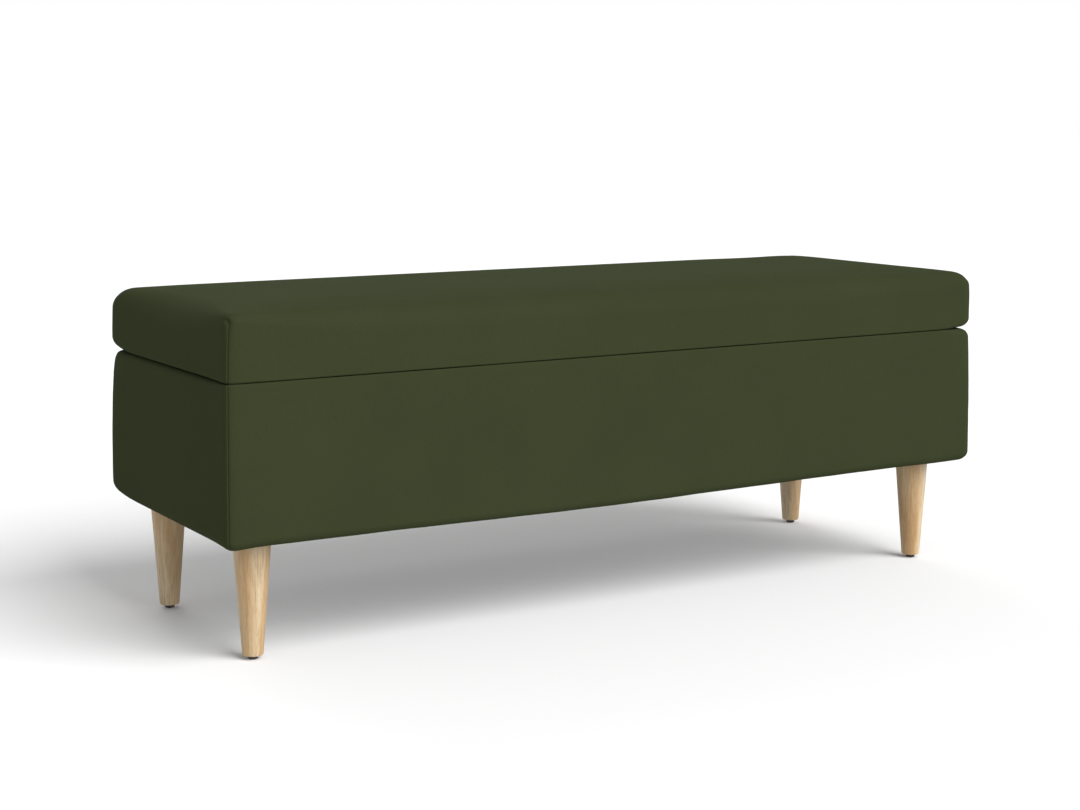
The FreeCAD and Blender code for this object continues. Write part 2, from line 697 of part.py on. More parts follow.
write_sizes()
make_legs()
make_bottom_frame()
make_box()
make_base_upholstery()
make_lid()
make_hinges()
make_stays()
write_pieces()
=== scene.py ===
import json
import math

import bpy
import numpy as np
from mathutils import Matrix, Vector
from mathutils.kdtree import KDTree


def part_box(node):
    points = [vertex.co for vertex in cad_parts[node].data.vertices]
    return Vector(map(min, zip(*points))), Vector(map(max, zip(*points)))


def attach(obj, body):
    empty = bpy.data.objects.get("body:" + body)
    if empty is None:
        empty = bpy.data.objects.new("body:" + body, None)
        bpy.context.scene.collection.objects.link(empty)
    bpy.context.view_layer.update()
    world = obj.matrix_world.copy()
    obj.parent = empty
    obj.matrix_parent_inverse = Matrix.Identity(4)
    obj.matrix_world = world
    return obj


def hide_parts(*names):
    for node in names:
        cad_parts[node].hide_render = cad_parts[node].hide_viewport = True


# The looks of the storage bench, in metres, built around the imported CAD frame.

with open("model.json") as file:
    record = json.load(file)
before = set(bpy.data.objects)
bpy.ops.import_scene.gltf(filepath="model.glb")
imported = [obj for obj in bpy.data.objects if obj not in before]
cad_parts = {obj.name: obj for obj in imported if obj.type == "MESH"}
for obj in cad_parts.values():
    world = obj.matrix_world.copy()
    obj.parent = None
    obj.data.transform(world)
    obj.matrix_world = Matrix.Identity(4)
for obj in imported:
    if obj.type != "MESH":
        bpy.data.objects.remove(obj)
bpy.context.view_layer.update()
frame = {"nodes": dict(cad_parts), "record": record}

NODES = frame["nodes"]
BASE_LOW, BASE_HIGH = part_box("base_cover")
LID_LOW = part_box("lid_cover")[0]
LINING_LOW, LINING_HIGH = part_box("storage_lining")
DUST_LOW, DUST_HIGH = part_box("dust_cover")
UNDER_LOW, UNDER_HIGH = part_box("lid_undercloth")

HALF_X = BASE_HIGH.x
HALF_Y = BASE_HIGH.y
FLANGE = HALF_X - LINING_HIGH.x  # how far a cover is turned in, over the rim or under the bottom
MM = 0.001


# ---------------------------------------------------------------- padded covers


def step(value, start, end):
    """A smooth step from 0 at start to 1 at end."""
    t = np.clip((value - start) / (end - start), 0, 1)
    return t * t * (3 - 2 * t)


def bump(value, width):
    """A smooth hump: 1 where value is 0, fading out over about width."""
    return np.exp(-((value / width) ** 2))


def ripples(points, scale, seed):
    """Slow unevenness, mostly within -1 to 1, as a sum of seven fixed waves of about scale in length."""
    rng = np.random.default_rng(seed)
    total = np.zeros(len(points))
    for _ in range(7):
        direction = rng.normal(size=3)
        direction /= np.linalg.norm(direction)
        wave = 2 * math.pi / (scale * rng.uniform(0.6, 1.7))
        phase = rng.uniform(0, 6.28)
        total += np.sin(points @ direction * wave + phase)
    return total / 4


def edge_lines(half, margin, pitch, steps, power=1.8):
    """Grid lines from -half to half: even in the middle, closing up across the margin at each edge.
    One line on each side lies where the cloth ends underneath."""
    core = half - margin
    middle = np.linspace(-core, core, max(2, math.ceil(2 * core / pitch)) + 1)
    ends = half - margin * (np.arange(steps) / steps) ** power
    if margin > FLANGE:
        ends[np.abs(half - FLANGE - ends).argmin()] = half - FLANGE
    return np.concatenate([-ends, middle, ends[::-1]])


# Each corner as the signs of its X and Y.
FRONT_LEFT, FRONT_RIGHT, BACK_LEFT, BACK_RIGHT = (-1, -1), (1, -1), (-1, 1), (1, 1)


class Roll:
    """The radius of a rolled edge: for the front, the back, each end and each corner. reach is how far
    a corner's own radius spreads along its sides."""

    def __init__(self, front, back, left, right, corners, reach):
        self.front, self.back, self.left, self.right = front, back, left, right
        self.corners, self.reach = corners, reach

    def radius(self, shell):
        end = np.where(shell.flat[:, 0] < 0, self.left, self.right)
        front_or_back = np.where(shell.flat[:, 1] < 0, self.front, self.back)
        side = np.where(shell.long_side, front_or_back, end)
        result = side.astype(float)
        for (x_sign, y_sign), value in self.corners.items():
            result += (value - side) * shell.corner(x_sign, y_sign, self.reach)
        return result


class Shell:
    """A rounded box in cloth: a grid on the faces of a box, rolled over its edges. It keeps where each
    point lies on the box, so that seams and folds can be sewn in once the cloth has been blown out."""

    def __init__(self, low, high, low_roll, high_roll, margin, corner_power, pitch, steps, open_top):
        self.low, self.high = low, high
        self.margin, self.corner_power = margin, corner_power
        self.low_roll, self.high_roll = low_roll, high_roll
        self.xs = edge_lines(HALF_X, margin, pitch, steps)
        self.ys = edge_lines(HALF_Y, margin, pitch, steps)
        self.turns = max(2, steps // 2)
        self.straights = max(2, math.ceil((high - low - low_roll.left - high_roll.left) / pitch))
        self.levels = 2 * self.turns + self.straights
        self.index = {}
        self.faces = []
        self.make_faces(open_top)
        self.place()

    def quad(self, *corners):
        self.faces.append([self.index.setdefault(corner, len(self.index)) for corner in corners])

    def make_faces(self, open_top):
        nx, ny, nz = len(self.xs) - 1, len(self.ys) - 1, self.levels
        for k in range(nz):
            for i in range(nx):
                self.quad((i, 0, k), (i + 1, 0, k), (i + 1, 0, k + 1), (i, 0, k + 1))
                self.quad((i + 1, ny, k), (i, ny, k), (i, ny, k + 1), (i + 1, ny, k + 1))
            for j in range(ny):
                self.quad((0, j + 1, k), (0, j, k), (0, j, k + 1), (0, j + 1, k + 1))
                self.quad((nx, j, k), (nx, j + 1, k), (nx, j + 1, k + 1), (nx, j, k + 1))
        mid_x = np.abs(self.xs[:-1] + self.xs[1:]) / 2
        mid_y = np.abs(self.ys[:-1] + self.ys[1:]) / 2
        for i in range(nx):
            for j in range(ny):
                inside = mid_x[i] < HALF_X - FLANGE and mid_y[j] < HALF_Y - FLANGE
                if not (open_top and inside):
                    self.quad((i, j, nz), (i + 1, j, nz), (i + 1, j + 1, nz), (i, j + 1, nz))
                if not inside:
                    self.quad((i, j + 1, 0), (i + 1, j + 1, 0), (i + 1, j, 0), (i, j, 0))

    def place(self):
        """Puts each grid point on the rounded box."""
        keys = np.array(list(self.index), int)
        flat = np.stack([self.xs[keys[:, 0]], self.ys[keys[:, 1]]], 1)
        level = keys[:, 2]
        margin = self.margin
        core_half = np.array([HALF_X - margin, HALF_Y - margin])
        core = np.clip(flat, -core_half, core_half)
        away = flat - core
        reach, other = np.abs(away).max(1), np.abs(away).min(1)
        norm = (np.abs(away) ** self.corner_power).sum(1) ** (1 / self.corner_power)
        outward = away / np.maximum(norm, 1e-12)[:, None]

        on_side = reach > margin - 1e-9
        share = np.where(on_side, 1.0, reach / margin)
        long_side = np.abs(away[:, 1]) >= np.abs(away[:, 0])
        along = np.where(long_side, core_half[0] - np.abs(core[:, 0]), core_half[1] - np.abs(core[:, 1]))
        self.from_corner = along + margin * (1 - other / np.maximum(reach, 1e-12))
        self.from_seam = along + reach - other
        self.flat, self.long_side = flat, long_side
        low_r, high_r = self.low_roll.radius(self), self.high_roll.radius(self)

        inset, height = np.zeros(len(flat)), np.zeros(len(flat))
        facing_out = np.ones(len(flat))
        upper = level - self.turns - self.straights
        for chosen, radius, turn, foot in (
            (level <= self.turns, low_r, level / self.turns, True),
            (upper >= 0, high_r, 1 - upper / self.turns, False),
        ):
            angle = (1 + np.clip(turn, 0, 1)) * math.pi / 4
            rolled, rise = radius * (1 - np.sin(angle)), radius * (1 - np.cos(angle))
            run = share * (margin - radius + radius * math.pi / 4)
            bend = np.clip((run - margin + radius) / radius, 0, math.pi / 4)
            on_flat = run < margin - radius
            face_inset = np.where(on_flat, margin - run, radius * (1 - np.sin(bend)))
            face_rise = radius * (1 - np.cos(bend))
            rolled = np.where(on_side, rolled, face_inset)
            rise = np.where(on_side, rise, face_rise)
            inset = np.where(chosen, rolled, inset)
            height = np.where(chosen, self.low + rise if foot else self.high - rise, height)
            facing_out = np.where(chosen, np.sin(np.where(on_side, angle, bend)), facing_out)
        middle = (level > self.turns) & (upper < 0)
        climb = (level - self.turns) / self.straights
        straight = self.low + low_r + (self.high - high_r - self.low - low_r) * climb
        height = np.where(middle, straight, height)

        self.points = np.column_stack([core + outward * (margin - inset)[:, None], height])
        self.outward = np.column_stack([outward * facing_out[:, None] ** 2, np.zeros(len(flat))])
        self.inset = np.where(on_side, 0.0, inset)
        self.is_foot = level <= self.turns
        self.is_head = upper >= 0

    def push(self, amount):
        """Moves the sides outwards by each point's own amount, fading out over the rolled edges."""
        self.points = self.points + self.outward * np.asarray(amount)[:, None]

    def lift(self, amount):
        self.points[:, 2] += amount

    def corner(self, x_sign, y_sign, width):
        """How near each point is to one corner, 0 to 1."""
        right_one = (self.flat[:, 0] * x_sign > 0) & (self.flat[:, 1] * y_sign > 0)
        return np.where(right_one, bump(self.from_corner, width), 0.0)


def mesh_object(name, points, faces):
    """A new mesh object in the scene, smooth shaded."""
    mesh = bpy.data.meshes.new(name)
    mesh.from_pydata([tuple(p) for p in points], [], faces)
    mesh.update()
    mesh.polygons.foreach_set("use_smooth", [True] * len(mesh.polygons))
    thing = bpy.data.objects.new(name, mesh)
    bpy.context.scene.collection.objects.link(thing)
    return thing


CLOTH_FRAMES = 20
CLOTH_SETTINGS = {
    "quality": 6,
    "mass": 0.3,
    "tension_stiffness": 25,
    "compression_stiffness": 25,
    "shear_stiffness": 12,
    "bending_stiffness": 4,
    "use_pressure": True,
    "vertex_group_mass": "pinned",
}


def blow_out(shell, free, pressure, cap):
    """Runs cloth under pressure from a shell's own shape, and returns how far each point moves, at most
    cap. free is how freely each point may move, 0 to 1."""
    thing = mesh_object("cloth_trial", shell.points, shell.faces)
    pinned = thing.vertex_groups.new(name="pinned")
    for k, share in enumerate(free):
        pinned.add([k], float(1 - share), "REPLACE")
    cloth = thing.modifiers.new("Cloth", "CLOTH")
    for key, value in CLOTH_SETTINGS.items():
        setattr(cloth.settings, key, value)
    cloth.settings.uniform_pressure_force = pressure
    cloth.settings.effector_weights.gravity = 0
    cloth.collision_settings.use_collision = False
    scene = bpy.context.scene
    scene.frame_start, scene.frame_end = 1, CLOTH_FRAMES
    cloth.point_cache.frame_start, cloth.point_cache.frame_end = 1, CLOTH_FRAMES
    for number in range(1, CLOTH_FRAMES + 1):
        scene.frame_set(number)
    solved = thing.evaluated_get(bpy.context.evaluated_depsgraph_get()).to_mesh()
    moved = np.zeros(len(solved.vertices) * 3)
    solved.vertices.foreach_get("co", moved)
    moved = moved.reshape(-1, 3) - shell.points
    scene.frame_set(1)
    bpy.data.objects.remove(thing)
    length = np.linalg.norm(moved, axis=1)
    return moved * np.minimum(1, cap / np.maximum(length, 1e-9))[:, None]


def evened(shell, moved, rounds):
    """The movement with each point drawn to the mean of the faces round it, over and over."""
    faces = np.array(shell.faces)
    count = np.bincount(faces.ravel(), minlength=len(moved))[:, None]
    for _ in range(rounds):
        means = moved[faces].mean(1)
        total = np.zeros_like(moved)
        for k in range(4):
            np.add.at(total, faces[:, k], means)
        moved = total / count
    return moved


def carried(coarse, moved, fine, neighbours=28, spread=14 * MM):
    """The coarse cloth's movement, read smoothly at each point of the fine one."""
    tree = KDTree(len(coarse.points))
    for k, p in enumerate(coarse.points):
        tree.insert(p, k)
    tree.balance()
    result = np.zeros_like(fine.points)
    for k, p in enumerate(fine.points):
        near = tree.find_n(p, neighbours)
        weight = np.array([math.exp(-((distance / spread) ** 2)) + 1e-9 for _, _, distance in near])
        found = np.array([moved[number] for _, number, _ in near])
        result[k] = (found * weight[:, None]).sum(0) / weight.sum()
    return result


def swollen(coarse, free, pressure, cap, rounds, fine):
    """How far each point of the fine shell moves when the coarse one is blown out and evened."""
    blown = blow_out(coarse, free, pressure, cap)
    return carried(coarse, evened(coarse, blown, rounds), fine)


def finish_cover(name, shell, body, replaced):
    """Turns a finished shell into the cover that rides on a body and stands for CAD nodes."""
    thing = mesh_object(name, shell.points, shell.faces)
    fine = thing.modifiers.new("Subdivision", "SUBSURF")
    fine.levels = fine.render_levels = 1
    with bpy.context.temp_override(object=thing, active_object=thing):
        bpy.ops.object.modifier_apply(modifier="Subdivision")
    thing.data.polygons.foreach_set("use_smooth", [True] * len(thing.data.polygons))
    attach(thing, body)
    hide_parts(*replaced)
    thing.data.materials.append(MATERIALS["olive_fabric"])


GROOVE_DEPTH, GROOVE_WIDTH = 1.0 * MM, 0.55 * MM
RIDGE_PLACE, RIDGE_WIDTH, RIDGE_HEIGHT = 2.6 * MM, 1.8 * MM, 0.3 * MM
RIDGE_START = 1.2 * MM
ALLOWANCE_START, ALLOWANCE_END, ALLOWANCE_HEIGHT = 5 * MM, 12 * MM, 0.3 * MM


def seam(shell):
    """A corner seam: a tight groove, with the seam allowance turned towards the end panel. The cloth
    stands up in a ridge beside the groove and lies thick over the rest of the allowance."""
    d = shell.from_seam
    groove = -GROOVE_DEPTH * np.exp(-d / GROOVE_WIDTH)
    ridge = RIDGE_HEIGHT * bump(d - RIDGE_PLACE, RIDGE_WIDTH)
    ridge += ALLOWANCE_HEIGHT * (1 - step(d, ALLOWANCE_START, ALLOWANCE_END))
    ridge *= 1 + 0.35 * ripples(shell.points, scale=0.035, seed=21)
    return groove + ridge * step(d, 0, RIDGE_START) * ~shell.long_side


def slack_corners(shell, rim, amounts, width=40 * MM, depth=38 * MM):
    """Pulls the corners in towards the gap between base and lid, by each corner's own amount."""
    fade = np.exp(-np.abs(shell.points[:, 2] - rim) / depth)
    for (x_sign, y_sign), amount in amounts.items():
        shell.push(-amount * shell.corner(x_sign, y_sign, width) * fade)


RIM_CLOSE, RIM_UNEVEN = 0.95 * MM, 0.12
RIM_FADE_START, RIM_FADE_END = 7 * MM, 16 * MM
ROUND_REACH = 30 * MM
SHUT_MORE, SHUT_REACH = 0.5, 24 * MM
HINGE_CLEARANCE = 60 * MM
# The rolls beside the gap are sharp at the front left corner, where it shuts, and round elsewhere.
RIM_CORNERS = {FRONT_LEFT: 4 * MM, FRONT_RIGHT: 13 * MM, BACK_LEFT: 16 * MM, BACK_RIGHT: 14 * MM}


def meet_at_rim(shell, chosen, rise):
    """Brings the roll beside the gap closer to its neighbour, except at the back, where the hinges are,
    and at the rounder corners. Along the front, the gap all but shuts at the front left corner."""
    outer = (1 - step(shell.inset, RIM_FADE_START, RIM_FADE_END)) * chosen
    hinge_side = HALF_Y - FLANGE
    front_or_end = 1 - step(shell.flat[:, 1], hinge_side - HINGE_CLEARANCE, hinge_side)
    not_round = 1 - shell.corner(*FRONT_RIGHT, ROUND_REACH) - shell.corner(*BACK_LEFT, ROUND_REACH)
    uneven = 1 + RIM_UNEVEN * ripples(shell.points, scale=0.22, seed=13)
    shut = 1 + SHUT_MORE * shell.corner(*FRONT_LEFT, SHUT_REACH) * shell.long_side
    shell.lift(rise * outer * front_or_end * not_round * uneven * shut)


DART_TOP = 430 * MM
DART_FADE, DART_END = DART_TOP - 5 * MM, DART_TOP + 1 * MM
FAINT_DART, DART_REACH = 0.1, 60 * MM
DIMPLE_DEPTH, DIMPLE_WIDTH, DIMPLE_HEIGHT = 2.5 * MM, 7 * MM, 6 * MM
CREASE_DEPTH, CREASE_HEIGHT, CREASE_SLOPE = 2.0 * MM, 2.5 * MM, 0.12
CREASE_START, CREASE_END = 3 * MM, 24 * MM


def dart(shell):
    """A short seam up each corner of the lid. It ends in a dimple, from which a crease runs along the end
    panel. Both are deep at the front left corner and faint at the others."""
    height = shell.points[:, 2]
    below_top = 1 - step(height, DART_FADE, DART_END)
    strength = FAINT_DART + (1 - FAINT_DART) * shell.corner(*FRONT_LEFT, DART_REACH)
    dimple = -DIMPLE_DEPTH * bump(shell.from_seam, DIMPLE_WIDTH) * bump(height - DART_TOP, DIMPLE_HEIGHT)
    from_crease = height - (DART_END + CREASE_SLOPE * shell.from_seam)
    crease = -CREASE_DEPTH * bump(from_crease, CREASE_HEIGHT)
    crease *= (1 - step(shell.from_seam, CREASE_START, CREASE_END)) * ~shell.long_side
    return seam(shell) * below_top + (dimple + crease) * strength


CLOTH_PITCH = 12 * MM
LID_EDGE_HEIGHT = 440.2 * MM
LID_ROUNDING = 56 * MM
LID_CORNER_POWER = 10
LID_PRESSURE, LID_CAP, LID_ROUNDS = 4.0, 24 * MM, 12
LID_PINNED, LID_FREE = 6 * MM, 30 * MM  # pinned up to the first height and free from the second
LID_SIDE_MIDDLE = 410 * MM
LID_SLACK, LID_TUCK = 0.3 * MM, 0.9 * MM
CROWN = 6.6 * MM
FULL_CORNER, FULL_REACH, FULL_HEIGHT = 1.3 * MM, 60 * MM, 30 * MM


def make_lid_cover():
    """The lid's cover: blown out by cloth simulation, then a dart sewn into each corner. Its front right
    corner is the fullest."""
    top_roll = Roll(
        front=30 * MM, back=30 * MM, left=45 * MM, right=27 * MM, reach=110 * MM,
        corners={FRONT_LEFT: 13 * MM, FRONT_RIGHT: 20 * MM, BACK_LEFT: 27 * MM, BACK_RIGHT: 22 * MM},
    )
    foot_roll = Roll(
        front=2.5 * MM, back=5 * MM, left=7 * MM, right=7 * MM, reach=40 * MM, corners=RIM_CORNERS
    )
    shape = (LID_LOW.z, LID_EDGE_HEIGHT, foot_roll, top_roll)
    cut = (LID_ROUNDING, LID_CORNER_POWER, CLOTH_PITCH)
    fine = Shell(*shape, *cut, steps=20, open_top=False)
    coarse = Shell(*shape, *cut, steps=6, open_top=False)
    free = step(coarse.points[:, 2], LID_LOW.z + LID_PINNED, LID_LOW.z + LID_FREE)
    moved = swollen(coarse, free, LID_PRESSURE, LID_CAP, LID_ROUNDS, fine)
    moved *= CROWN / np.percentile(moved[:, 2], 99)
    fine.points = fine.points + moved

    from_middle = fine.points[:, 2] - LID_SIDE_MIDDLE
    slack = LID_SLACK * ripples(fine.points, scale=0.16, seed=3) - LID_TUCK
    fine.push(dart(fine) + slack)
    full = fine.corner(*FRONT_RIGHT, FULL_REACH) * bump(from_middle, FULL_HEIGHT)
    fine.push(FULL_CORNER * full)
    amounts = {BACK_LEFT: 2 * MM, BACK_RIGHT: 2 * MM, FRONT_RIGHT: 1 * MM}
    slack_corners(fine, LID_LOW.z, amounts, depth=12 * MM)
    meet_at_rim(fine, fine.is_foot, -RIM_CLOSE)
    finish_cover("lid_cover_cloth", fine, "lid", ["lid_cover", "lid_foam"])


BASE_HANG = 2.8 * MM  # how far the padding hangs below the bottom
BASE_CORNER_POWER = 5
BASE_PRESSURE, BASE_CAP, BASE_ROUNDS = 3.0, 20 * MM, 4
BASE_PINNED, BASE_FREE = 4 * MM, 30 * MM  # likewise, up from the bottom and down from the rim
BASE_SWELL = 1.2 * MM
BASE_SLACK, BASE_TUCK = 0.25 * MM, 0.6 * MM

EDGE_FADE_START, EDGE_FADE_END = 10 * MM, 60 * MM
TURNED_IN = 12 * MM
EDGE_RIPPLE = 0.5 * MM
LEFT_DROP, LEFT_REACH = 1.4 * MM, 35 * MM
RIGHT_RISE, RIGHT_REACH = 0.5 * MM, 60 * MM
# The front's lower edge hangs in the middle and is drawn up near the right end: (rise, place in X, width).
FRONT_BENDS = ((-3.8 * MM, -0.06, 0.25), (1.2 * MM, 0.42, 0.10))


def shape_lower_edge(shell):
    """Bends the front's lower edge, lowers the front left corner and raises the front right one, and
    lifts the turned-in part to the bottom."""
    low = 1 - step(shell.points[:, 2], BASE_LOW.z + EDGE_FADE_START, BASE_LOW.z + EDGE_FADE_END)
    turned_in = step(shell.inset, TURNED_IN, FLANGE)
    front = step(-shell.flat[:, 1], HALF_Y - FLANGE, HALF_Y)
    x = shell.points[:, 0]
    shell.lift(sum(rise * bump(x - place, width) for rise, place, width in FRONT_BENDS) * front * low)
    shell.lift(EDGE_RIPPLE * ripples(shell.points * (1, 0, 0), scale=0.08, seed=17) * front * low)
    shell.lift(-LEFT_DROP * shell.corner(*FRONT_LEFT, LEFT_REACH) * (1 - turned_in) * low)
    shell.lift(RIGHT_RISE * shell.corner(*FRONT_RIGHT, RIGHT_REACH) * (1 - turned_in) * low)
    shell.lift(BASE_HANG * turned_in * shell.is_foot)


def make_base_cover():
    """The base's cover: a sleeve round the four sides, turned in over the rim and under the bottom."""
    foot_roll = Roll(
        front=13 * MM, back=13 * MM, left=14 * MM, right=14 * MM, reach=45 * MM,
        corners={FRONT_LEFT: 12 * MM, FRONT_RIGHT: 15 * MM, BACK_LEFT: 21 * MM, BACK_RIGHT: 15 * MM},
    )
    rim_roll = Roll(
        front=2.5 * MM, back=5 * MM, left=9 * MM, right=9 * MM, reach=45 * MM, corners=RIM_CORNERS
    )
    shape = (BASE_LOW.z - BASE_HANG, BASE_HIGH.z, foot_roll, rim_roll)
    cut = (FLANGE, BASE_CORNER_POWER, CLOTH_PITCH)
    fine = Shell(*shape, *cut, steps=14, open_top=True)
    coarse = Shell(*shape, *cut, steps=4, open_top=True)
    z = coarse.points[:, 2]
    free = step(z, BASE_LOW.z + BASE_PINNED, BASE_LOW.z + BASE_FREE)
    free *= 1 - step(z, BASE_HIGH.z - BASE_FREE, BASE_HIGH.z - BASE_PINNED)
    moved = swollen(coarse, free, BASE_PRESSURE, BASE_CAP, BASE_ROUNDS, fine)
    moved *= BASE_SWELL / np.abs(moved).max()
    fine.points = fine.points + moved

    shape_lower_edge(fine)
    slack = BASE_SLACK * ripples(fine.points, scale=0.2, seed=8)
    fine.push(seam(fine) + slack - BASE_TUCK)
    amounts = {BACK_LEFT: 6 * MM, BACK_RIGHT: 4 * MM, FRONT_LEFT: 1 * MM, FRONT_RIGHT: 2 * MM}
    slack_corners(fine, BASE_HIGH.z, amounts)
    meet_at_rim(fine, fine.is_head, RIM_CLOSE)
    foam = ["base_foam_front", "base_foam_back", "base_foam_left", "base_foam_right"]
    finish_cover("base_cover_cloth", fine, "base", ["base_cover", *foam])


# ---------------------------------------------------------------- materials


class Nodes:
    """A material's nodes, with short ways to add and link them. places and normal are in the piece's own
    space, so a pattern stays on it as it turns."""

    def __init__(self, name):
        self.material = bpy.data.materials.new(name)
        self.material.use_nodes = True
        self.tree = self.material.node_tree
        self.shader = self.tree.nodes["Principled BSDF"]
        coordinates = self.add("ShaderNodeTexCoord")
        self.places, self.normal = coordinates.outputs["Object"], coordinates.outputs["Normal"]

    def add(self, kind, **settings):
        node = self.tree.nodes.new(kind)
        for key, value in settings.items():
            setattr(node, key, value)
        return node

    def feed(self, node, **inputs):
        """Sets or links inputs by name; an underscore in a name stands for a space."""
        for key, value in inputs.items():
            self.set(node.inputs[key.replace("_", " ")], value)
        return node

    def set(self, socket, value):
        if isinstance(value, bpy.types.NodeSocket):
            self.tree.links.new(value, socket)
        else:
            socket.default_value = value

    def math(self, operation, one, two=0.0, clamp=False):
        node = self.add("ShaderNodeMath", operation=operation, use_clamp=clamp)
        self.set(node.inputs[0], one)
        self.set(node.inputs[1], two)
        return node.outputs[0]

    def split(self, vector):
        node = self.add("ShaderNodeSeparateXYZ")
        self.set(node.inputs[0], vector)
        return node.outputs

    def stretch(self, vector, scale):
        node = self.add("ShaderNodeVectorMath", operation="MULTIPLY")
        self.set(node.inputs[0], vector)
        self.set(node.inputs[1], scale)
        return node.outputs[0]

    def noise(self, vector, scale, detail=3.0, roughness=0.5):
        node = self.add("ShaderNodeTexNoise")
        self.feed(node, Vector=vector, Scale=scale, Detail=detail, Roughness=roughness)
        return node.outputs["Fac"]

    def ramp(self, value, stops):
        node = self.add("ShaderNodeValToRGB")
        ramp = node.color_ramp
        while len(ramp.elements) < len(stops):
            ramp.elements.new(0.5)
        for element, (place, colour) in zip(ramp.elements, stops):
            element.position = place
            element.color = (*colour, 1.0)
        self.set(node.inputs[0], value)
        return node.outputs[0]

    def mix(self, share, one, two, blend="MIX"):
        node = self.add("ShaderNodeMix", data_type="RGBA", blend_type=blend)
        self.set(node.inputs["Factor"], share)
        for socket, value in ((node.inputs[6], one), (node.inputs[7], two)):
            self.set(socket, value if isinstance(value, bpy.types.NodeSocket) else (*value, 1.0))
        return node.outputs[2]

    def bump(self, height, distance, strength=1.0, after=None):
        node = self.add("ShaderNodeBump")
        self.feed(node, Height=height, Distance=distance, Strength=strength)
        if after is not None:
            self.set(node.inputs["Normal"], after)
        return node.outputs["Normal"]


def weave_height(n, thread):
    """Plain weave on whichever way the cloth faces: threads over and under along two of X, Y and Z."""
    normal = n.split(n.normal)
    place = n.split(n.places)
    waves = [n.math("SINE", n.math("MULTIPLY", axis, math.pi / thread)) for axis in place]
    facing = [n.math("POWER", n.math("ABSOLUTE", axis), 4.0) for axis in normal]
    total = None
    for k in range(3):
        product = n.math("MULTIPLY", waves[(k + 1) % 3], waves[(k + 2) % 3])
        part = n.math("MULTIPLY", n.math("ABSOLUTE", product), facing[k])
        total = part if total is None else n.math("ADD", total, part)
    return total


SLOW_SHARE, FIBRE_SHARE = 0.38, 0.62
# Painted shade in the gaps between threads: how much of it shows, and how dark it is against the cloth's
# dark tone.
GAP_SHADE_SHARE, GAP_SHADE = 0.28, 0.45


def cloth_material(name, dark, light, thread, sheen, tint):
    """Woven cloth: thread-scale relief, fibres, slow changes of tone, and painted shade darkening the gaps
    between threads.
    """
    n = Nodes(name)
    slow = n.noise(n.places, scale=9.0)
    fibres = n.noise(n.stretch(n.places, (1.0, 1.0, 0.25)), scale=900.0, detail=2.0)
    weave = weave_height(n, thread)
    tone = n.math("ADD", n.math("MULTIPLY", slow, SLOW_SHARE), n.math("MULTIPLY", fibres, FIBRE_SHARE))
    colour = n.ramp(tone, [(0.3, dark), (0.7, light)])
    # Painted shade: the colour darkens where the weave is low, between the threads, standing in for the
    # shadow there.
    painted_gap_shade = n.math("MULTIPLY", n.math("SUBTRACT", 1.0, weave, clamp=True), GAP_SHADE_SHARE)
    colour = n.mix(painted_gap_shade, colour, tuple(c * GAP_SHADE for c in dark))
    height = n.math("ADD", weave, n.math("MULTIPLY", fibres, 0.6))
    relief = n.bump(height, distance=thread * 0.3, strength=0.55)
    n.feed(n.shader, Base_Color=colour, Roughness=0.93, Normal=relief)
    n.shader.inputs["Sheen Weight"].default_value = sheen
    n.shader.inputs["Sheen Roughness"].default_value = 0.45
    n.shader.inputs["Sheen Tint"].default_value = (*tint, 1.0)
    n.shader.inputs["Specular IOR Level"].default_value = 0.014
    return n.material


OAK_FIGURE = [
    (0.34, (0.347, 0.213, 0.098)),
    (0.47, (0.403, 0.289, 0.161)),
    (0.6, (0.474, 0.380, 0.254)),
]
OAK_LINE = (0.262, 0.152, 0.066)
OAK_PORE = (0.15, 0.08, 0.032)
# How often each pattern repeats across and along the grain, per metre.
FIGURE_GRAIN = (34.0, 34.0, 3.2)
LINE_GRAIN = (420.0, 420.0, 9.0)
PORE_GRAIN = (1300.0, 1300.0, 45.0)


def oak_material():
    """Light oak turned along Z: fine lines, wider figure and small pores, under a thin matt lacquer.
    Each leg is cut from its own place in the wood."""
    n = Nodes("leg_wood")
    shift = n.add("ShaderNodeObjectInfo").outputs["Random"]
    moved = n.add("ShaderNodeVectorMath", operation="ADD")
    n.set(moved.inputs[0], n.places)
    n.set(moved.inputs[1], shift)
    place = moved.outputs[0]
    figure = n.noise(n.stretch(place, FIGURE_GRAIN), scale=1.0, detail=4.0, roughness=0.55)
    lines = n.noise(n.stretch(place, LINE_GRAIN), scale=1.0, detail=3.0, roughness=0.6)
    pores = n.noise(n.stretch(place, PORE_GRAIN), scale=1.0, detail=1.0)
    dark_lines = n.math("MULTIPLY", n.math("SUBTRACT", lines, 0.44, clamp=True), 2.2)
    dark_pores = n.math("MULTIPLY", n.math("GREATER_THAN", pores, 0.66), 0.28)
    colour = n.mix(dark_lines, n.ramp(figure, OAK_FIGURE), OAK_LINE)
    colour = n.mix(dark_pores, colour, OAK_PORE)
    height = n.math("ADD", lines, n.math("MULTIPLY", pores, 0.5))
    rough = n.math("ADD", 0.46, n.math("MULTIPLY", lines, 0.16))
    relief = n.bump(height, distance=0.2 * MM, strength=0.35)
    n.feed(n.shader, Base_Color=colour, Roughness=rough, Normal=relief)
    n.shader.inputs["Specular IOR Level"].default_value = 0.28
    return n.material


BOARD_GRAIN = (4.0, 60.0, 60.0)
PLY_LAYERS = 2100.0


